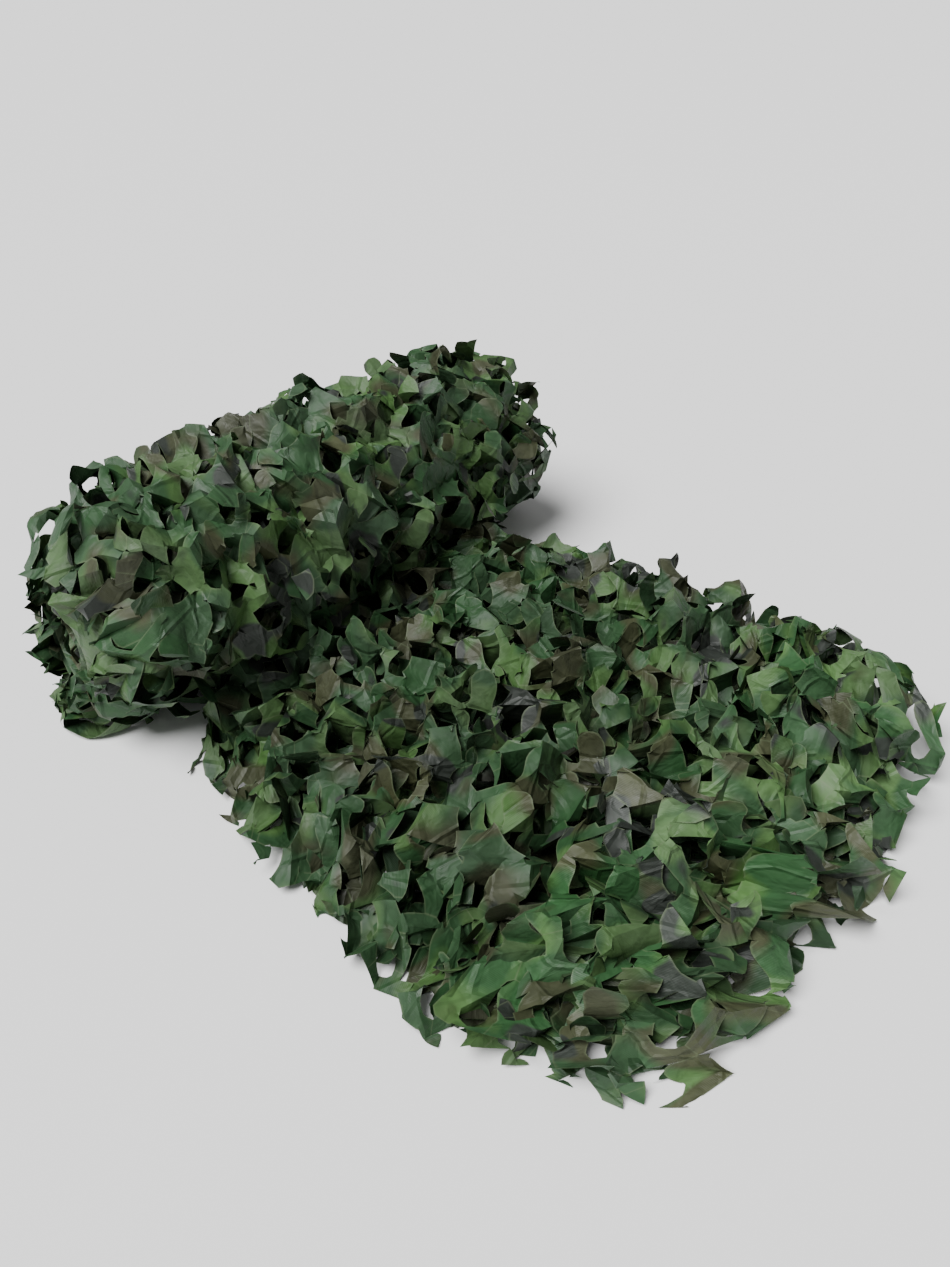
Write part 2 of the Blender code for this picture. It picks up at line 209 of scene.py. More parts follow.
LOOSE_TURN = 226  # degrees that the loose end's pattern is turned
LOOSE_START = 0.085  # x at which the loose end's cloth starts
OPEN_SHIFT = 0.042  # how much further from the roll its open side starts
OPEN_FROM, OPEN_LENGTH = -0.25, 0.06  # y from which it does, and over which length
UNDER_ROLL = 0.012  # how far it starts inside the roll's front
INSET_LENGTH = 0.05  # the stretch in which the lower layer draws in
FRONT_CORNER = -0.286  # y at which the front edge meets the open side
FRONT_START = 0.03  # share of the way from the fold where loose_front starts
FRONT_SLOPE = 1.5  # it is fully risen at its depth divided by this
LEAST_HEIGHT = 0.007  # of the upper layer
MIDDLE_GUESS, FRONT_GUESS = 0.45, 0.70  # x from which a point's place is sought
PLACE_ROUNDS = 5  # rounds in which its x and y are fitted to each other
FLOOR_GAP = 0.0008
FLOOR_SOFT = 0.006  # height below which cloth is pressed together
CEILING, CEILING_SOFT = 0.312, 0.010  # from here on, leaves that stand up are bent over

# How far the front leaves reach past the net's front edge, with one deep notch
FRONT_REACH = (
    # y_m, reach_m
    (-0.300, 0.022),
    (-0.250, 0.016),
    (-0.210, 0.004),
    (-0.155, 0.000),
    (-0.115, -0.034),
    (-0.070, -0.036),
    (-0.040, -0.002),
    (0.004, 0.006),
    (0.050, -0.008),
    (0.130, -0.006),
    (0.200, 0.022),
    (0.250, 0.018),
    (0.300, 0.006),
)


def column(table, place, value):
    """The value column of a table at a place in its first column, straight between rows."""
    return float(np.interp(place, [row[0] for row in table], [row[value] for row in table]))


def ease(value):
    """From 0 to 1 with a soft start and end, for a number or an array."""
    value = np.clip(value, 0.0, 1.0)
    return value * value * (3 - 2 * value)


# ---- the cut pattern ----


def smooth_line(points, step):
    """A smooth line through the points, with its own points in equal steps."""
    points = np.array(points, dtype=float)
    ends = np.vstack([2 * points[0] - points[1], points, 2 * points[-1] - points[-2]])
    share = np.linspace(0, 1, CURVE_POINTS, endpoint=False)[:, None]
    runs = []
    for a, b, c, d in zip(ends, ends[1:], ends[2:], ends[3:]):
        runs.append(0.5 * (2 * b + (c - a) * share + (2 * a - 5 * b + 4 * c - d) * share ** 2
                           + (3 * b - a - 3 * c + d) * share ** 3))
    line = np.vstack(runs + [points[-1:]])
    return equal_steps(line, step)


def equal_steps(line, step):
    """The same line with points in equal steps of about the size given."""
    gone = np.concatenate([[0], np.cumsum(np.linalg.norm(np.diff(line, axis=0), axis=1))])
    count = max(round(gone[-1] / step), 1)
    places = np.linspace(0, gone[-1], count + 1)
    return np.stack([np.interp(places, gone, line[:, k]) for k in (0, 1)], axis=1)


def leaf_line(chance):
    """One leaf cut about its root: down one side of the leaf, round its tip and up the other side."""
    left, right = (np.array(LEAF_SIDES[chance.choice(list(LEAF_SIDES))]) * [1, LEAF_LENGTH] for _ in range(2))
    left = smooth_line(left * [-1, 1], CUT_STEP)
    right = smooth_line(right[::-1], CUT_STEP)
    bulge = 0.5 * (left[-1] + right[0]) - [0, chance.uniform(*TIP_BULGES)]
    end = smooth_line(np.array([left[-1], bulge, right[0]]), CUT_STEP)
    line = np.vstack([left, end[1:-1], right]) * chance.uniform(*LEAF_SIZES, 2)
    line[:, 0] += line[:, 1] * chance.uniform(-LEAF_SLANT, LEAF_SLANT)
    if chance.random() < SHORT_LEAVES:
        line = line[:round(len(line) * chance.uniform(*SHORT_LENGTHS))]
    if chance.random() < 0.5:
        line = line[::-1]
    return turned(line, chance.uniform(-LEAF_TURN, LEAF_TURN))


def turned(line, angle):
    """The line turned about the origin."""
    return line @ np.array([[math.cos(angle), math.sin(angle)], [-math.sin(angle), math.cos(angle)]])


def leaf_cuts(size, turn, chance):
    """Leaf cuts in staggered rows all over a flat cloth and just beyond its edges, the rows turned."""
    reach = 0.5 * np.linalg.norm(size) + LEAF_ALONG
    cuts = []
    for row in range(-int(reach / LEAF_ALONG), int(reach / LEAF_ALONG) + 1):
        for place in range(-int(reach / LEAF_ACROSS), int(reach / LEAF_ACROSS) + 1):
            middle = np.array([(place + 0.5 * (row % 2)) * LEAF_ACROSS, row * LEAF_ALONG])
            cut = leaf_line(chance) + middle + chance.uniform(-LEAF_SHIFT, LEAF_SHIFT, 2)
            cut = turned(cut, turn) + 0.5 * size
            if np.all(cut.max(axis=0) > 0) and np.all(cut.min(axis=0) < size):
                cuts.append(cut)
    return cuts


def runs_inside(line, size):
    """The stretches of a line that lie inside a rectangle from 0 to size, ended on its border."""
    inside = np.all((line > 1e-5) & (line < size - 1e-5), axis=1)
    runs, run = [], []
    for i, point in enumerate(line):
        if inside[i]:
            if not run and i > 0:
                run.append(border_point(point, line[i - 1], size))
            run.append(point)
        elif run:
            runs.append(run + [border_point(line[i - 1], point, size)])
            run = []
    return [np.array(run) for run in runs + [run] if len(run) > 2]


def border_point(inner, outer, size):
    """Where the way from a point inside to one outside crosses the border."""
    way = outer - inner
    share = 1.0
    for k in (0, 1):
        if outer[k] < 0:
            share = min(share, -inner[k] / way[k])
        if outer[k] > size[k]:
            share = min(share, (size[k] - inner[k]) / way[k])
    return np.clip(inner + share * way, 0, size)


def spaced_points(size, pitch, shift, chance):
    """Points in staggered rows over a rectangle, each moved a little at random."""
    rows = max(round(size[1] / (pitch * ROW_PITCH)), 2)
    points = []
    for row in range(rows + 1):
        across = (np.arange(int(size[0] / pitch) + 2) - 0.5 * (row % 2)) * pitch
        points.append(np.stack([across, np.full(len(across), row * size[1] / rows)], axis=1))
    points = np.vstack(points)
    return points + chance.uniform(-shift, shift, points.shape)


def crease_lines(size, pitch, chance):
    """Straight creases that part a flat cloth into facets, and the middles of those facets."""
    middles = spaced_points(size + 4 * pitch, pitch, CREASE_SHIFT * pitch, chance) - 2 * pitch
    _, _, triangles, _, _, _ = geometry.delaunay_2d_cdt([Vector(p) for p in middles], [], [], 0, 1e-7)
    corners = middles[np.array(triangles)]
    centres = circle_centres(corners)
    sides = {}
    lines = []
    for i, triangle in enumerate(triangles):
        for a, b in zip(triangle, triangle[1:] + triangle[:1]):
            other = sides.pop((min(a, b), max(a, b)), None)
            if other is None:
                sides[min(a, b), max(a, b)] = i
            else:
                lines.append((centres[i], centres[other]))
    kept = []
    for start, end in lines:
        if SHORTEST_CREASE < np.linalg.norm(end - start) < LONGEST_CREASE * pitch:
            for run in runs_inside(equal_steps(np.array([start, end]), FINE_STEP), size):
                kept.append(equal_steps(run, CLOTH_STEP))
    return kept, middles


def root_lines(cut, size):
    """The straight line on which the leaf of a cut hangs, where it lies inside a rectangle."""
    root = equal_steps(np.array([cut[0], cut[-1]]), FINE_STEP)
    return [equal_steps(run, CUT_STEP) for run in runs_inside(root[1:-1], size)]


def circle_centres(corners):
    """The centres of the circles through triangles' corners."""
    a, b, c = corners[:, 0], corners[:, 1], corners[:, 2]
    ab, ac = b - a, c - a
    area = 2 * (ab[:, 0] * ac[:, 1] - ab[:, 1] * ac[:, 0])
    area = np.where(np.abs(area) < 1e-9, 1e-9, area)
    ab2, ac2 = (ab ** 2).sum(axis=1), (ac ** 2).sum(axis=1)
    across = ac[:, 1] * ab2 - ab[:, 1] * ac2
    along = ab[:, 0] * ac2 - ac[:, 0] * ab2
    return a + np.stack([across, along], axis=1) / area[:, None]


def tree_of(points):
    tree = KDTree(len(points))
    for i, point in enumerate(points):
        tree.insert((point[0], point[1], 0.0), i)
    tree.balance()
    return tree


def far_from(points, others, gap):
    """The points that keep at least a gap from all the others."""
    tree = tree_of(others)
    return points[[tree.find((p[0], p[1], 0.0))[2] > gap for p in points]]


def border_points(size, pitch):
    """Points round a rectangle's border, its corners among them."""
    wide = np.linspace(0, size[0], round(size[0] / pitch) + 1)
    long = np.linspace(0, size[1], round(size[1] / pitch) + 1)[1:-1]
    sides = [np.stack([wide, 0 * wide], 1), np.stack([wide, 0 * wide + size[1]], 1),
             np.stack([0 * long, long], 1), np.stack([0 * long + size[0], long], 1)]
    return np.vstack(sides)


# Which edges are cut through the leaves: the low ones and the high ones, each across and along
ALL_EDGES = ((True, True), (True, True))
NEAR_EDGE = ((False, True), (False, False))
FAR_EDGE = ((False, False), (False, True))
NO_EDGES = ((False, False), (False, False))

# The sheets that show as the edges of the roll's inner turns at its ends
END_TURNS = (
    # name, near_y_m, far_y_m, seed, cut_edges
    ("roll_near_turns", -0.345, -0.236, 17, NEAR_EDGE),
    ("roll_far_turns", 0.225, 0.340, 19, FAR_EDGE),
)


class Cloth:
    """A flat rectangle of leaf-cut cloth: its points, triangles, leaves and creased facets.

    The leaves' tips point low along the cloth, or turned from there; the pattern grows with the scale."""

    def __init__(self, width, length, seed, turn, cut_edges, scale):
        self.size = np.array([width, length]) / scale
        self.cut_low, self.cut_high = np.array(cut_edges)
        self.chance = np.random.default_rng(seed)
        self.cuts = leaf_cuts(self.size, turn, self.chance)
        cut_runs = [run for cut in self.cuts for run in runs_inside(cut, self.size)]
        creases, middles = crease_lines(self.size, CREASE_PITCH, self.chance)
        creases += [run for cut in self.cuts for run in root_lines(cut, self.size)]
        self.mesh_between(cut_runs, creases)
        self.find_leaves()
        self.find_facets(middles)
        self.size, self.flat = scale * self.size, scale * self.flat
        self.cuts = [scale * cut for cut in self.cuts]

    def mesh_between(self, cut_runs, creases):
        """Triangles the rectangle along its cuts and creases, and opens the cuts."""
        folds = [line for line in creases if len(line) > 1]
        points, edges = [], []
        for line in cut_runs + folds:
            edges += [(len(points) + i, len(points) + i + 1) for i in range(len(line) - 1)]
            points += [Vector(point) for point in line]
        cut_edges = sum(len(run) - 1 for run in cut_runs)
        points += [Vector(point) for point in self.free_points(np.vstack(cut_runs), folds)]
        placed, sides, triangles, _, origins, _ = geometry.delaunay_2d_cdt(points, edges, [], 0, 1e-6)
        bm = bmesh.new()
        verts = [bm.verts.new((point[0], point[1], 0.0)) for point in placed]
        for a, b, c in triangles:
            if geometry.area_tri(*(placed[k].to_3d() for k in (a, b, c))) > LEAST_TRIANGLE:
                bm.faces.new((verts[a], verts[b], verts[c]))
        slit = [bm.edges.get((verts[a], verts[b])) for (a, b), whose in zip(sides, origins)
                if any(one < cut_edges for one in whose)]
        bmesh.ops.split_edges(bm, edges=[edge for edge in slit if edge])
        bmesh.ops.delete(bm, geom=[vert for vert in bm.verts if not vert.link_faces], context="VERTS")
        bm.verts.index_update()
        self.flat = np.array([vert.co[:2] for vert in bm.verts])
        self.triangles = np.array([[vert.index for vert in face.verts] for face in bm.faces])
        bm.free()

    def free_points(self, cut_points, folds):
        """The points inside the cloth and on its edges that no cut or crease gives."""
        inner = spaced_points(self.size, CLOTH_STEP, CLOTH_SHIFT, self.chance)
        inner = inner[np.all((inner > CLOTH_MARGIN) & (inner < self.size - CLOTH_MARGIN), axis=1)]
        inner = far_from(inner, np.vstack([cut_points] + folds), CLOTH_GAP * CLOTH_STEP)
        rim = border_points(self.size, CUT_STEP)
        corners = np.array([[0, 0], self.size, [self.size[0], 0], [0, self.size[1]]])
        corner = np.any(np.all(np.abs(rim[:, None] - corners) < 1e-6, axis=2), axis=1)
        return np.vstack([inner, rim[corner], far_from(rim[~corner], cut_points, RIM_GAP)])

    def find_leaves(self):
        """Says for each triangle and each point which leaf it is part of, or -1 for the cloth between."""
        middle = self.flat[self.triangles].mean(axis=1)
        self.leaf = np.full(len(middle), -1)
        for i, cut in enumerate(self.cuts):
            near = np.nonzero(np.all((middle > cut.min(axis=0)) & (middle < cut.max(axis=0)), axis=1))[0]
            self.leaf[near[inside(middle[near], cut)]] = i
        self.drop(np.isin(self.leaf, [i for i, cut in enumerate(self.cuts) if self.crosses_border(cut)]))
        self.drop(self.patch_of_triangles() > 0)
        low = np.full(len(self.flat), len(self.cuts))
        high = np.full(len(self.flat), -2)
        for k in range(3):
            np.minimum.at(low, self.triangles[:, k], self.leaf)
            np.maximum.at(high, self.triangles[:, k], self.leaf)
        self.point_leaf = np.where(low == high, low, -1)

    def area(self):
        """The flat area of the cloth, in square metres."""
        a, b, c = (self.flat[self.triangles[:, k]] for k in range(3))
        return float(0.5 * np.abs((b - a)[:, 0] * (c - a)[:, 1] - (b - a)[:, 1] * (c - a)[:, 0]).sum())

    def crosses_border(self, cut):
        """Whether a cut runs over a cut edge far enough for its leaf to fall off."""
        outside = np.any((cut < 0) & self.cut_low | (cut > self.size) & self.cut_high, axis=1)
        return LOST_LEAVES[0] < outside.mean() < LOST_LEAVES[1]

    def patch_of_triangles(self):
        """The number of the patch that each triangle is part of, 0 for the largest."""
        patch = np.arange(len(self.flat))
        while True:
            lowest = patch[self.triangles].min(axis=1)
            lower = patch.copy()
            for k in range(3):
                np.minimum.at(lower, self.triangles[:, k], lowest)
            lower = lower[lower]
            if np.array_equal(lower, patch):
                break
            patch = lower
        lowest = patch[self.triangles[:, 0]]
        found, number, count = np.unique(lowest, return_inverse=True, return_counts=True)
        rank = np.empty(len(found), dtype=int)
        rank[np.argsort(-count)] = np.arange(len(found))
        return rank[number]

    def drop(self, gone):
        """Takes triangles away, and the points that only they had."""
        self.triangles, self.leaf = self.triangles[~gone], self.leaf[~gone]
        used = np.unique(self.triangles)
        place = np.full(len(self.flat), -1)
        place[used] = np.arange(len(used))
        self.flat = self.flat[used]
        self.triangles = place[self.triangles]

    def find_facets(self, middles):
        """Gives each triangle its facet: the crease cell that it lies in, apart for each leaf."""
        middle = self.flat[self.triangles].mean(axis=1)
        tree = tree_of(middles)
        cell = np.array([tree.find((p[0], p[1], 0.0))[1] for p in middle])
        key = cell * (len(self.cuts) + 2) + self.leaf + 1
        facet = np.unique(key, return_inverse=True)[1]
        for a, b in 3 * [self.neighbours()]:
            count = np.bincount(facet, minlength=facet.max() + 1)
            small = count[facet] < SMALL_FACET
            join = small[a] & ~small[b] & (self.leaf[a] == self.leaf[b])
            facet[a[join]] = facet[b[join]]
        facet = np.unique(facet, return_inverse=True)[1]
        pairs = np.unique(np.stack([np.repeat(facet, 3), self.triangles.ravel()], axis=1), axis=0)
        self.facet_of, self.point_of = pairs[:, 0], pairs[:, 1]
        self.facets = facet.max() + 1

    def sides(self):
        """The two points of each triangle's first side, then of each one's second and third."""
        sides = [self.triangles[:, [0, 1]], self.triangles[:, [1, 2]], self.triangles[:, [2, 0]]]
        return np.sort(np.vstack(sides), axis=1)

    def on_border(self):
        """Which points lie on a cut or on the cloth's own edge."""
        lone, count = np.unique(self.sides(), axis=0, return_counts=True)
        border = np.zeros(len(self.flat), dtype=bool)
        border[lone[count == 1]] = True
        return border

    def neighbours(self):
        """Pairs of triangles that share an edge, each pair both ways round."""
        sides = self.sides()
        key = sides[:, 0].astype(np.int64) * len(self.flat) + sides[:, 1]
        owner = np.tile(np.arange(len(self.triangles)), 3)
        order = np.argsort(key, kind="stable")
        same = np.nonzero(key[order][1:] == key[order][:-1])[0]
        a, b = owner[order][same], owner[order][same + 1]
        return np.concatenate([a, b]), np.concatenate([b, a])


def inside(points, loop):
    """Which points lie inside a closed loop."""
    ahead = np.roll(loop, -1, axis=0)
    x, y = points[:, :1], points[:, 1:]
    rise = ahead[:, 1] - loop[:, 1]
    rise = np.where(np.abs(rise) < 1e-12, 1e-12, rise)
    spans = (loop[:, 1] > y) != (ahead[:, 1] > y)
    hits = spans & (x < loop[:, 0] + (y - loop[:, 1]) * (ahead[:, 0] - loop[:, 0]) / rise)
    return hits.sum(axis=1) % 2 == 1


class Waves:
    """Smooth random hills over a flat cloth, about 1 high."""

    def __init__(self, chance, length):
        angle = chance.uniform(0, 2 * math.pi, WAVE_COUNT)
        pace = 2 * math.pi / (length * chance.uniform(*WAVE_LENGTHS, WAVE_COUNT))
        self.pace = np.stack([pace * np.cos(angle), pace * np.sin(angle)])
        self.phase = chance.uniform(0, 2 * math.pi, WAVE_COUNT)
        self.scale = math.sqrt(2 / WAVE_COUNT)

    def __call__(self, places):
        return self.scale * np.cos(places @ self.pace + self.phase).sum(axis=1)


# ---- creasing ----


def crease(cloth, target, band, swing):
    """Crowds a flat cloth into its target places, so that it creases between its facets and its leaves lift.

    Target holds each point's place across and along, band how far it may stand off, swing how far leaves
    swing down and up."""
    points = start_points(cloth, target, swing, band)
    rest = facet_shapes(cloth)
    between = cloth.point_leaf < 0
    bands = np.where(between, band, LEAF_FREEDOM * band)
    for sweep in range(SWEEPS):
        points += FIT * (fitted(points, rest, cloth) - points)
        if sweep < SWEEPS - FREE_SWEEPS:
            points[between, :2] += HOLD * (target - points[:, :2])[between]
            over = np.clip(points[:, 2] - bands, 0, None) + np.clip(points[:, 2] + bands, None, 0)
            points[:, 2] -= PRESS * over
    return points


def start_points(cloth, target, swing, height):
    """The crowded cloth before it creases: hilly, with its leaves swung about their roots."""
    chance = cloth.chance
    hills, bumps = Waves(chance, HILL_LENGTH), Waves(chance, BUMP_LENGTH * HILL_LENGTH)
    points = np.column_stack([target, height * (hills(cloth.flat) + BUMP_HEIGHT * bumps(cloth.flat))])
    roots = np.array([(cut[0] + cut[-1]) / 2 for cut in cloth.cuts])
    tips = np.array([furthest(cut, root) for cut, root in zip(cloth.cuts, roots)])
    ahead = tips - roots
    reach = np.linalg.norm(ahead, axis=1)
    ahead /= reach[:, None]
    angle = chance.uniform(*SWING_SHARES, len(roots)) * np.where(chance.random(len(roots)) < HANGING, *swing)
    curl = chance.uniform(*CURLS, len(roots))
    own = np.nonzero(cloth.point_leaf >= 0)[0]
    leaf = cloth.point_leaf[own]
    out = np.clip(((cloth.flat[own] - roots[leaf]) * ahead[leaf]).sum(axis=1), 0, None)
    turn = angle[leaf] + curl[leaf] * out / reach[leaf]
    points[own, :2] += ahead[leaf] * (out * (np.cos(turn) - 1))[:, None]
    points[own, 2] += out * np.sin(turn)
    return points + chance.normal(0, UNEVEN, points.shape)


def furthest(line, place):
    """The point of a line that is furthest from a place."""
    return line[np.argmax(np.linalg.norm(line - place, axis=1))]


def facet_shapes(cloth):
    """Each facet at rest about its own middle, curled a little one way."""
    chance = cloth.chance
    at = cloth.flat[cloth.point_of]
    count = np.bincount(cloth.facet_of, minlength=cloth.facets)
    middle = np.stack([np.bincount(cloth.facet_of, at[:, k]) / count for k in (0, 1)], axis=1)
    out = at - middle[cloth.facet_of]
    angle = chance.uniform(0, math.pi, cloth.facets)[cloth.facet_of]
    curve = chance.normal(0, FACET_CURVE, cloth.facets)[cloth.facet_of]
    sideways = out[:, 0] * np.cos(angle) + out[:, 1] * np.sin(angle)
    rise = curve * sideways ** 2
    rise -= (np.bincount(cloth.facet_of, rise) / count)[cloth.facet_of]
    return np.column_stack([out, rise])


def fitted(points, rest, cloth):
    """Where the points would lie if their facets kept their shapes, on average."""
    facet, point = cloth.facet_of, cloth.point_of
    count = np.bincount(facet, minlength=cloth.facets)
    middle = np.stack([np.bincount(facet, points[point, k]) / count for k in range(3)], axis=1)
    out = points[point] - middle[facet]
    turn = np.empty((cloth.facets, 3, 3))
    for i in range(3):
        for j in range(3):
            turn[:, i, j] = np.bincount(facet, out[:, i] * rest[:, j])
    left, _, right = np.linalg.svd(turn)
    left[:, :, 2] *= np.sign(np.linalg.det(left @ right))[:, None]
    turn = left @ right
    goal = np.einsum("nij,nj->ni", turn[facet], rest) + middle[facet]
    shared = np.bincount(point, minlength=len(points))
    return np.stack([np.bincount(point, goal[:, k]) / shared for k in range(3)], axis=1)


# ---- laying ----


def grid_of(place, rows, columns):
    """A surface's grid of points; place gives the point of a row and a column."""
    return np.array([[place(i, j) for j in range(columns + 1)] for i in range(rows + 1)])


def on_grid(shares, heights, grid):
    """Points at heights off a surface, whose grid of points runs from share 0 to 1 both ways."""
    rows, columns = grid.shape[:2]
    across = np.gradient(grid, axis=0)
    along = np.gradient(grid, axis=1)
    normal = np.cross(along, across)
    normal /= np.linalg.norm(normal, axis=2, keepdims=True) + 1e-12
    place = shares * [rows - 1, columns - 1]
    low = np.clip(place.astype(int), 0, [rows - 2, columns - 2])
    i, j = low.T
    past_i, past_j = (place - low)[:, :1], (place - low)[:, 1:]
    spots = []
    for layer in (grid, normal):
        near = part_way(layer[i, j], layer[i, j + 1], past_j)
        far = part_way(layer[i + 1, j], layer[i + 1, j + 1], past_j)
        spots.append(part_way(near, far, past_i))
    return spots[0] + spots[1] * heights[:, None]


def part_way(start, end, share):
    """Points at a share of the way from one to another."""
    return start * (1 - share) + end * share


def above_floor(points):
    """Presses what would lie under or just over the floor into a thin layer on it."""
    low = points[:, 2] < FLOOR_SOFT
    room = FLOOR_SOFT - FLOOR_GAP
    points[low, 2] = FLOOR_GAP + room * np.exp((points[low, 2] - FLOOR_SOFT) / room)
    return points


def below_ceiling(points):
    """Bends over the few leaves that would stand far above the net."""
    high = points[:, 2] > CEILING
    points[high, 2] = CEILING + CEILING_SOFT * (1 - np.exp((CEILING - points[high, 2]) / CEILING_SOFT))
    return points


def new_sheet(name, cloth, points, material, shift):
    """A piece of the net from a creased and laid cloth; shift moves the printed pattern on it.

    Its border attribute is 1 along the cuts and 0 inside, for the lighter cut edge, which is partly a painted
    highlight."""
    mesh = bpy.data.meshes.new(name)
    mesh.from_pydata(points.tolist(), [], cloth.triangles.tolist())
    print_place = mesh.attributes.new("print_place", "FLOAT_VECTOR", "POINT")
    places = np.column_stack([cloth.flat + shift, np.zeros(len(points))])
    print_place.data.foreach_set("vector", places.astype(np.float32).ravel())
    mesh.shade_smooth()
    mesh.set_sharp_from_angle(angle=SHARP_ANGLE)
    border = mesh.attributes.new("border", "FLOAT", "CORNER")
    at_border = cloth.on_border()[cloth.triangles]
    at_border[at_border.all(axis=1)] = False
    border.data.foreach_set("value", at_border.ravel().astype(np.float32))
    mesh.materials.append(material)
    piece = bpy.data.objects.new(name, mesh)
    bpy.context.scene.collection.objects.link(piece)
    return piece


def line_length(line):
    """The length of a line through points."""
    return np.linalg.norm(np.diff(line, axis=0), axis=1).sum()


def lay(name, grid, seed, squeeze, band, material, turn=0.0, cut_edges=ALL_EDGES, swing=SWING, scale=1.0):
    """One sheet, creased and laid on a surface.

    Squeeze says how closely its flat cut is crowded, band how far it may stand off, and turn by how many
    degrees its rows of leaves are turned."""
    girth = line_length(grid[:, grid.shape[1] // 2])
    reach = line_length(grid[grid.shape[0] // 4])
    cloth = Cloth(girth / squeeze, reach / squeeze, seed, math.radians(turn), cut_edges, scale)
    points = crease(cloth, cloth.flat * squeeze, band, swing)
    laid = on_grid(points[:, :2] / [girth, reach], points[:, 2], grid)
    laid = below_ceiling(above_floor(laid))
    return cloth, new_sheet(name, cloth, laid, material, seed * PRINT_MOVE)


# ---- the loose end ----


def fold_size(x):
    """The folded side at x: its y, the half height and the depth of its bend, and half of the cloth in it."""
    half = column(LOOSE_SECTIONS, x, 4) / 2
    depth = FOLD_DEPTH * half
    return column(LOOSE_SECTIONS, x, 2), half, depth, 0.5 * math.pi * 0.5 * (half + depth)


def upper_height(x, y):
    """The upper layer's height over a place, led into the fold at its side."""
    open_y = column(LOOSE_SECTIONS, x, 1)
    fold_y, half, depth, _ = fold_size(x)
    share = (y - open_y) / (fold_y - depth - open_y)
    crown = column(LOOSE_SECTIONS, x, 3) * column(CROSS_PROFILE, share, 1)
    into_fold = ease((share - 1 + FOLD_REACH) / FOLD_REACH)
    return max(crown * (1 - into_fold) + 2 * half * into_fold, LEAST_HEIGHT)


def section(across, x):
    """Where the cloth lies at x, for a distance across it from its fold: y and z."""
    fold_y, half, depth, bend = fold_size(x)
    if across > bend:
        y = fold_y - depth - (across - bend)
        return y, upper_height(x, y)
    if across < -bend:
        return fold_y - depth - (-bend - across), 0.0
    angle = 0.5 * math.pi * across / bend
    return fold_y - depth + depth * math.cos(angle), half * (1 + math.sin(angle))


def half_width(x):
    """The cloth from the fold to the open side at x."""
    fold_y, _, depth, bend = fold_size(x)
    return bend + fold_y - depth - column(LOOSE_SECTIONS, x, 1)


def roll_front(y, z):
    """The x of the roll's plain surface, on its front, at a height."""
    radius = column(ROLL_SECTIONS, y, 1)
    drop = z - (radius - FLAT_SINK)
    return column(ROLL_SECTIONS, y, 2) + math.sqrt(max(radius ** 2 - drop ** 2, 0.0))


def front_x(y):
    """The x of the front edge."""
    return column(FRONT_EDGE, max(y, FRONT_CORNER), 1)


def front_grid(depth, rise, rows=44, columns=16):
    """The surface of loose_front: its rows run from the fold on, its columns back from the front edge."""
    def place(i, j):
        back = j / columns
        x = FRONT_GUESS
        for _ in range(PLACE_ROUNDS):
            y, z = section(half_width(x) * (FRONT_START + (1 - FRONT_START) * i / rows), x)
            x = front_x(y) + column(FRONT_REACH, y, 1) - depth * back
        return x, y, z + rise * ease(FRONT_SLOPE * back)
    return grid_of(place, rows, columns)


def folded_grid(low_level, high_level, tuck, widen, inset, rows=64, columns=48):
    """The surface of a folded sheet in the loose end, from its open side over the fold and back.

    The levels are its layers' heights, as shares of the upper layer's. Tuck and inset are how far it stays
    inside the net's fold and front edge, and widen stretches it across."""
    def place(i, j):
        x = MIDDLE_GUESS
        for _ in range(PLACE_ROUNDS):
            width = half_width(x)
            across = width - (2 * width - LOWER_INSET) * i / rows
            y, z = section(across, x)
            start = LOOSE_START + OPEN_SHIFT * ease((OPEN_FROM - y) / OPEN_LENGTH)
            start = max(start, roll_front(y, min(z, SEAM_HEIGHT)) - UNDER_ROLL)
            end = front_x(y) - inset - LOWER_INSET * ease(-across / INSET_LENGTH)
            x = start + (end - start) * j / columns
        top = upper_height(x, y)
        z = top * (low_level + (high_level - low_level) * z / top)
        fold_y = column(LOOSE_SECTIONS, x, 2)
        return x, fold_y - tuck - (fold_y - y) * widen, z
    return grid_of(place, rows, columns)


# ---- the roll ----


def wound_grid(first_radius, last_radius, turns, near_y, far_y, ripple=0.0, lip=0.0, swell=0.0,
               rows_a_turn=40, columns=40):
    """The surface of a sheet wound about the roll's axis, outermost first.

    The radii are shares of the roll's own. Its lip is the share by which it turns in at the roll's ends, its
    swell the share by which it stands out between them."""
    rows = round(turns * rows_a_turn)

    def place(i, j):
        angle = ROLL_START + 2 * math.pi * turns * i / rows
        y = near_y + (far_y - near_y) * j / columns
        share = first_radius + (last_radius - first_radius) * i / rows
        share += ripple * math.sin(RIPPLE_ALONG * y + RIPPLE_ROUND * angle)
        share += swell * (ease((y - SWELL_FROM) / SWELL_RISE) - ease((y - SWELL_TO) / SWELL_FALL))
        at_near, at_far = ease(1 - (y - near_y) / LIP_LENGTH), ease(1 - (far_y - y) / LIP_LENGTH)
        share *= 1 - lip * (at_near + FAR_LIP * at_far)
        return roll_place(y, angle, share)
    return grid_of(place, rows, columns)


def skirt_grid(rows=28, columns=24):
    """The surface of the cloth over the roll's near end, round the rim from its front; its columns run up."""
    def place(i, j):
        angle = math.radians(SKIRT_FOOT + (SKIRT_TOP - SKIRT_FOOT) * j / columns)
        rim, front, end = (foot + (top - foot) * j / columns
                           for foot, top in (SKIRT_RIMS, SKIRT_FRONTS, SKIRT_ENDS))
        gone = (front + end) * i / rows - front
        bend = math.hypot(gone, SKIRT_ROUND)
        x, y, z = roll_place(rim + (bend - gone) / 2, angle, SKIRT_SHARE)
        spread = SKIRT_SPREAD * ease(gone / end) * (1 - j / columns) ** 2
        return x - (bend + gone) / 2, y - spread, z
    return grid_of(place, rows, columns)


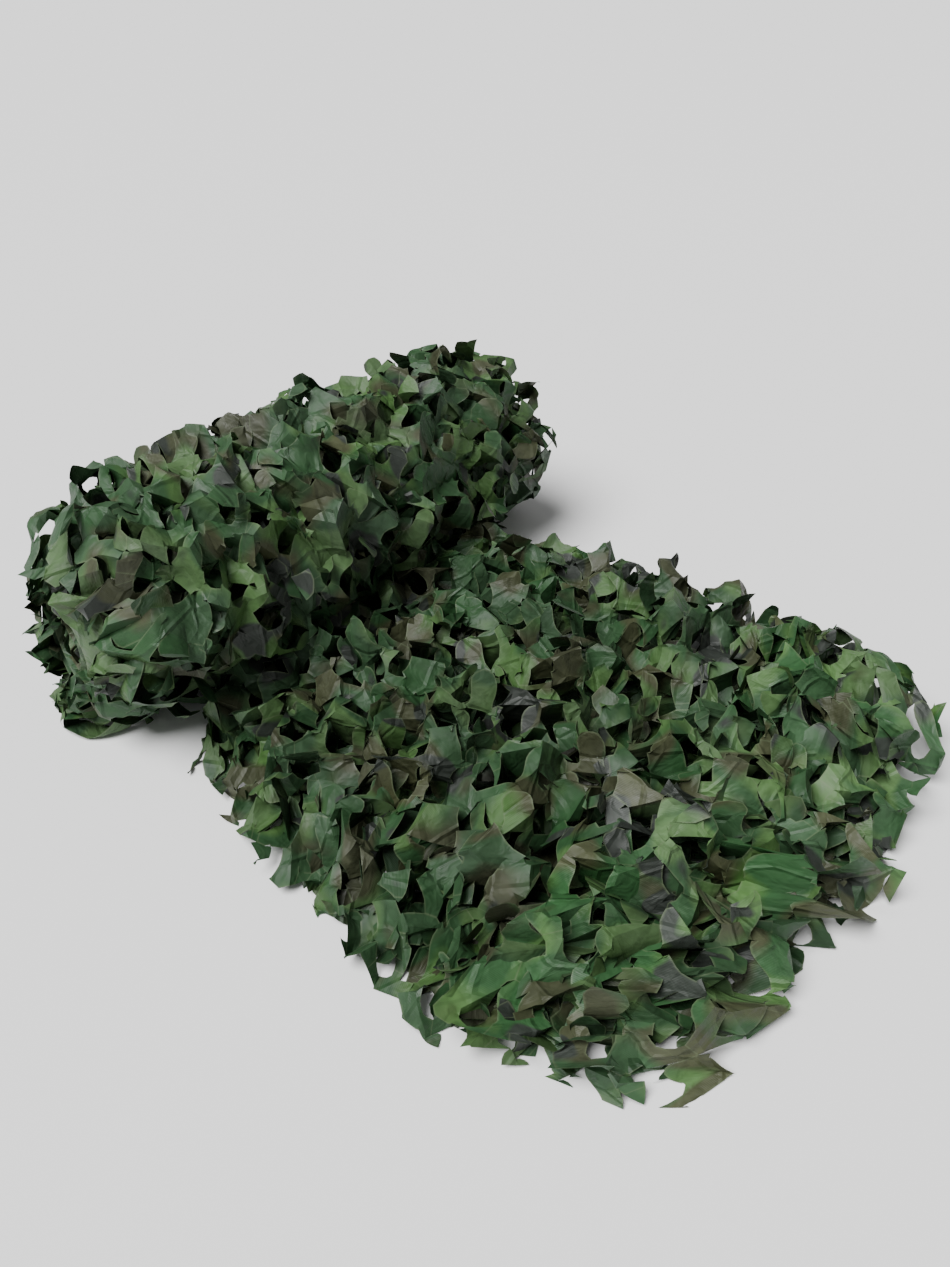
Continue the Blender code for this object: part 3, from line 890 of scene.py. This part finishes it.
def roll_place(y, angle, share):
    """A point of the roll at a share of its radius; its near end leans, and its underside is flat."""
    radius = column(ROLL_SECTIONS, y, 1)
    reach = share * radius
    height = max(radius - FLAT_SINK + reach * math.sin(angle), LEAST_PLACE)
    past_end = y - ROLL_SECTIONS[0][0]
    lean = NEAR_LEAN * ease(1 - past_end / LEAN_LENGTH) * (height / radius - 1)
    sag = NEAR_SAG * ease(1 - past_end / SAG_LENGTH) * ease((SAG_TOP - height / radius) / SAG_RISE)
    sag *= ease(0.5 + math.cos(angle))
    return column(ROLL_SECTIONS, y, 2) + reach * math.cos(angle) - sag, y + lean, height


# ---- materials ----

CAMOUFLAGE = (
    # name, linear colour, noise threshold, softness of its edge, pattern shift
    ("light_green", (0.0540, 0.107, 0.0365), 0.540, 0.034, (0.0, 0.0, 0.0)),
    ("brown", (0.043, 0.0485, 0.0245), 0.572, 0.034, (5.3, 3.7, 0.0)),
    ("charcoal", (0.0245, 0.0300, 0.0245), 0.632, 0.012, (11.7, 8.2, 0.0)),
)
GROUND_GREEN = (0.0248, 0.062, 0.0250)
PRINT_MOVE = 1.7  # how far the print moves on for each step of the seed
BLOTCHES = {"Scale": 11.0, "Detail": 1.6, "Distortion": 0.3}
# Lighter cut edges: partly the cloth's own light cut edge, partly a painted highlight along the rims
CUT_EDGE_AND_HIGHLIGHT = (0.120, 0.155, 0.085, 1.0)
EDGE_RANGE = (0.84, 0.98)  # border value where the lighter cut edge and its painted highlight start and are full
EDGE_HIGHLIGHT_SHARE = 0.45  # how much of its colour shows there
WORN = {"Scale": 70.0, "Detail": 3.0}
FADED = {"Scale": 9.0, "Detail": 2.0}
NOISE_RANGE = (0.3, 0.7)  # their values between which their effect grows
WORN_VALUES = (0.82, 1.18)  # brightness
WORN_ROUGHNESS = (0.42, 0.60)
FADED_SATURATION = (1.16, 0.84)
SPECULAR = 0.30

# Relief, each with the height of its bumps in metres and their strength
WRINKLES, WRINKLE_BUMP = {"Scale": 55.0, "Detail": 2.0, "Distortion": 0.6}, (0.0045, 0.6)
FINE_CREASES, CREASE_BUMP = {"Scale": 15.0}, (0.0012, 1.0)
FINE_CREASE_WIDTH = 0.05  # as a share of the pattern's own size
THREADS, THREAD_BUMP = {"Scale": 190.0, "Distortion": 0.4}, (0.0003, 0.3)


class Nodes:
    """A material's node tree, built by short calls."""

    def __init__(self, name):
        self.material = bpy.data.materials.new(name)
        self.material.use_nodes = True
        self.tree = self.material.node_tree
        self.surface = self.tree.nodes["Principled BSDF"]

    def add(self, kind, settings=(), **inputs):
        """A new node; an input is a number, a colour or another node's output."""
        node = self.tree.nodes.new(kind)
        for name, value in dict(settings).items():
            setattr(node, name, value)
        for name, value in inputs.items():
            self.feed(value, node.inputs[name.replace("_", " ")])
        return node

    def feed(self, value, socket):
        if isinstance(value, bpy.types.NodeSocket):
            self.tree.links.new(value, socket)
        else:
            socket.default_value = value

    def mix(self, share, a, b):
        """A colour at a share of the way from a to b."""
        node = self.add("ShaderNodeMix", {"data_type": "RGBA"})
        self.feed(share, node.inputs[0])
        self.feed(a, node.inputs[6])
        self.feed(b, node.inputs[7])
        return node.outputs[2]

    def step(self, value, low, high, start=0.0, end=1.0):
        """From start to end while the value goes from low to high."""
        node = self.add("ShaderNodeMapRange", Value=value, From_Min=low, From_Max=high,
                        To_Min=start, To_Max=end)
        return node.outputs[0]

    def bump(self, height, distance, strength, normal=None):
        """A surface normal with a height's relief on it."""
        node = self.add("ShaderNodeBump", Strength=strength, Distance=distance, Height=height)
        if normal:
            self.feed(normal, node.inputs["Normal"])
        return node.outputs[0]


def printed_colour(nodes, place, print_shift, painted_light_share):
    """The camouflage print: hard-edged blotches over a ground green. A painted-light share gives it more
    light green, as painted light.
    """
    colour = (*GROUND_GREEN, 1.0)
    for name, ink, threshold, soft, shift in CAMOUFLAGE:
        # painted light: the share moves the print towards light green and away from brown and charcoal
        threshold += painted_light_share if name != "light_green" else -painted_light_share
        moved = nodes.add("ShaderNodeMapping", Vector=place, Location=[s + print_shift for s in shift])
        blotch = nodes.add("ShaderNodeTexNoise", Vector=moved.outputs[0], **BLOTCHES)
        share = nodes.step(blotch.outputs["Fac"], threshold - soft, threshold + soft)
        colour = nodes.mix(share, colour, (*ink, 1.0))
    return colour


def cloth_material(name, print_shift, painted_light_share=0.0, painted_light_level=1.0):
    """Printed cloth with its weave, soft wrinkles, crisp creases, worn patches and lighter cut edges, partly
    a painted highlight. The level makes each copy of the cloth lighter or darker: painted light or painted
    shade for where its sheet lies.
    """
    nodes = Nodes(name)
    place = nodes.add("ShaderNodeAttribute", {"attribute_name": "print_place"}).outputs["Vector"]
    border = nodes.add("ShaderNodeAttribute", {"attribute_name": "border"}).outputs["Fac"]
    colour = printed_colour(nodes, place, print_shift, painted_light_share)
    worn = nodes.add("ShaderNodeTexNoise", Vector=place, **WORN).outputs["Fac"]
    faded = nodes.add("ShaderNodeTexNoise", Vector=place, **FADED).outputs["Fac"]
    saturation = nodes.step(faded, *NOISE_RANGE, *FADED_SATURATION)
    # painted light and painted shade: the level scales the brightness of this copy of the cloth, on top of
    # the random wear
    value = nodes.step(worn, *NOISE_RANGE, WORN_VALUES[0] * painted_light_level, WORN_VALUES[1] * painted_light_level)
    toned = nodes.add("ShaderNodeHueSaturation", Saturation=saturation, Value=value, Color=colour)
    # lighter cut edge, partly a painted highlight along the rims
    edge = nodes.step(border, *EDGE_RANGE, 0.0, EDGE_HIGHLIGHT_SHARE)
    nodes.feed(nodes.mix(edge, toned.outputs[0], CUT_EDGE_AND_HIGHLIGHT), nodes.surface.inputs["Base Color"])
    nodes.feed(relief(nodes, place), nodes.surface.inputs["Normal"])
    nodes.feed(nodes.step(worn, *NOISE_RANGE, *WORN_ROUGHNESS), nodes.surface.inputs["Roughness"])
    nodes.surface.inputs["Specular IOR Level"].default_value = SPECULAR
    return nodes.material


def relief(nodes, place):
    """The normal of cloth with soft wrinkles, fine crisp creases and its threads."""
    wrinkles = nodes.add("ShaderNodeTexNoise", Vector=place, **WRINKLES)
    voronoi = {"feature": "DISTANCE_TO_EDGE"}
    creases = nodes.add("ShaderNodeTexVoronoi", voronoi, Vector=place, **FINE_CREASES)
    threads = nodes.add("ShaderNodeTexWave", Vector=place, **THREADS)
    normal = nodes.bump(wrinkles.outputs["Fac"], *WRINKLE_BUMP)
    crease_height = nodes.step(creases.outputs["Distance"], 0.0, FINE_CREASE_WIDTH)
    normal = nodes.bump(crease_height, *CREASE_BUMP, normal)
    return nodes.bump(threads.outputs["Fac"], *THREAD_BUMP, normal)


def plain_material(name, colour, roughness):
    nodes = Nodes(name)
    nodes.surface.inputs["Base Color"].default_value = (*colour, 1.0)
    nodes.surface.inputs["Roughness"].default_value = roughness
    return nodes.material


# ---- camera, floor and light ----


def make_camera():
    azimuth, down, roll = (math.radians(a) for a in (CAMERA_AZIMUTH, CAMERA_DOWN, CAMERA_ROLL))
    ahead = Vector((-math.sin(azimuth) * math.cos(down), math.cos(azimuth) * math.cos(down), -math.sin(down)))
    right = ahead.cross(Vector((0, 0, 1))).normalized()
    up = right.cross(ahead)
    right, up = right * math.cos(roll) + up * math.sin(roll), up * math.cos(roll) - right * math.sin(roll)
    data = bpy.data.cameras.new("camera")
    data.sensor_fit = "VERTICAL"
    data.sensor_height = SENSOR_HEIGHT
    data.lens = FOCAL_PIXELS * SENSOR_HEIGHT / IMAGE_HEIGHT
    camera = bpy.data.objects.new("camera", data)
    turn = Matrix((right, up, -ahead)).transposed().to_4x4()
    camera.matrix_world = Matrix.Translation(CAMERA_PLACE) @ turn
    bpy.context.scene.collection.objects.link(camera)
    bpy.context.scene.camera = camera


def make_floor():
    mesh = bpy.data.meshes.new("floor")
    half = FLOOR_HALF
    corners = [(-half, -half, 0), (half, -half, 0), (half, half, 0), (-half, half, 0)]
    mesh.from_pydata(corners, [], [(0, 1, 2, 3)])
    mesh.materials.append(plain_material("floor", FLOOR_COLOUR, FLOOR_ROUGHNESS))
    floor = bpy.data.objects.new("floor", mesh)
    bpy.context.scene.collection.objects.link(floor)


def make_light():
    """Soft studio light: an even white surround and a broad key from above."""
    world = bpy.data.worlds.new("studio")
    world.use_nodes = True
    world.node_tree.nodes["Background"].inputs[0].default_value = (1.0, 1.0, 1.0, 1.0)
    world.node_tree.nodes["Background"].inputs[1].default_value = SURROUND
    bpy.context.scene.world = world
    data = bpy.data.lights.new("key", "SUN")
    data.angle = math.radians(KEY_SOFTNESS)
    data.energy = KEY_STRENGTH
    light = bpy.data.objects.new("key", data)
    light.rotation_euler = Vector(KEY_FROM).to_track_quat("Z", "Y").to_euler()
    bpy.context.scene.collection.objects.link(light)


# ---- the net ----


def declared(cloth, sheet, node):
    """The finished sheet, with the CAD node that it replaces hidden from view."""
    tuple(cloth.size)
    cloth.area()
    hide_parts(node)
    return sheet


def make_loose(material, deep, front):
    """The loose end: the sheet that shows, a flatter one inside it, and the looser stretch at its front."""
    outer = folded_grid(low_level=0.0, high_level=1.0, tuck=0.0, widen=1.018, inset=0.035)
    cloth, sheet = lay("loose_outer", outer, seed=3, squeeze=0.71, band=0.036, material=material,
                       turn=LOOSE_TURN, swing=(-2.1, 1.7))
    made = [declared(cloth, sheet, "loose_end")]

    inner = folded_grid(low_level=0.10, high_level=0.34, tuck=0.018, widen=0.96, inset=0.012)
    # painted shade: the inner sheet gets a much darker copy of the cloth, for the shade between the leaves
    cloth, sheet = lay("loose_inner", inner, seed=7, squeeze=0.78, band=0.022, material=deep, turn=LOOSE_TURN)
    made.append(declared(cloth, sheet, "loose_end"))

    # painted light: loose_front gets a much lighter copy of the cloth
    cloth, sheet = lay("loose_front", front_grid(depth=0.20, rise=0.010), seed=5, squeeze=0.76, band=0.027,
                       material=front, turn=46, cut_edges=NO_EDGES, scale=1.12)
    made.append(declared(cloth, sheet, "loose_end"))
    return made


def make_roll(material, painted_light_skirt):
    """The roll: its outer turns, the smooth cloth over its near end, and the turns that show at both ends."""
    outer = wound_grid(1.070, 0.70, turns=3.0, near_y=-0.364, far_y=0.370,
                       ripple=0.012, lip=0.30, swell=0.080)
    cloth, sheet = lay("roll_outer", outer, seed=29, squeeze=0.79, band=0.018, material=material,
                       turn=-37, scale=0.90)
    made = [declared(cloth, sheet, "roll")]

    # painted light: the near end's drape gets a lighter copy of the cloth, with more light green in its print
    cloth, sheet = lay("roll_near_skirt", skirt_grid(), seed=23, squeeze=0.90, band=0.012, material=painted_light_skirt,
                       cut_edges=NEAR_EDGE, swing=(-0.6, 0.3), scale=2.0)
    smooth = sheet.modifiers.new("smooth", "SUBSURF")
    smooth.levels = smooth.render_levels = 2
    made.append(declared(cloth, sheet, "roll"))

    for name, near_y, far_y, seed, cut_edges in END_TURNS:
        grid = wound_grid(0.72, 0.10, turns=6.0, near_y=near_y, far_y=far_y, rows_a_turn=30, columns=10)
        cloth, sheet = lay(name, grid, seed, squeeze=0.82, band=0.009, material=material,
                           cut_edges=cut_edges, scale=1.25)
        made.append(declared(cloth, sheet, "roll"))
    return made


make_camera()
make_floor()
make_light()
# Copies of one cloth, made lighter or darker by their painted-light level: painted light on the near end's
# drape and on the front, painted shade on the inner sheet
roll_cloth = cloth_material("leaf_cloth_roll", 0.0, painted_light_level=1.02)
painted_light_skirt_cloth = cloth_material("leaf_cloth_roll_painted_light", 6.4, painted_light_share=0.09, painted_light_level=0.95)
loose_cloth = cloth_material("leaf_cloth_loose", 3.1, painted_light_level=0.90)
painted_light_front_cloth = cloth_material("leaf_cloth_loose_front_painted_light", 5.2, painted_light_level=1.30)
painted_shade_cloth = cloth_material("leaf_cloth_loose_painted_shade", 9.7, painted_light_level=0.65)
for made, slot in ((make_roll(roll_cloth, painted_light_skirt_cloth), "leaf_cloth_roll"),
                   (make_loose(loose_cloth, painted_shade_cloth, painted_light_front_cloth), "leaf_cloth_loose")):
    for piece in made:
        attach(piece, "root")
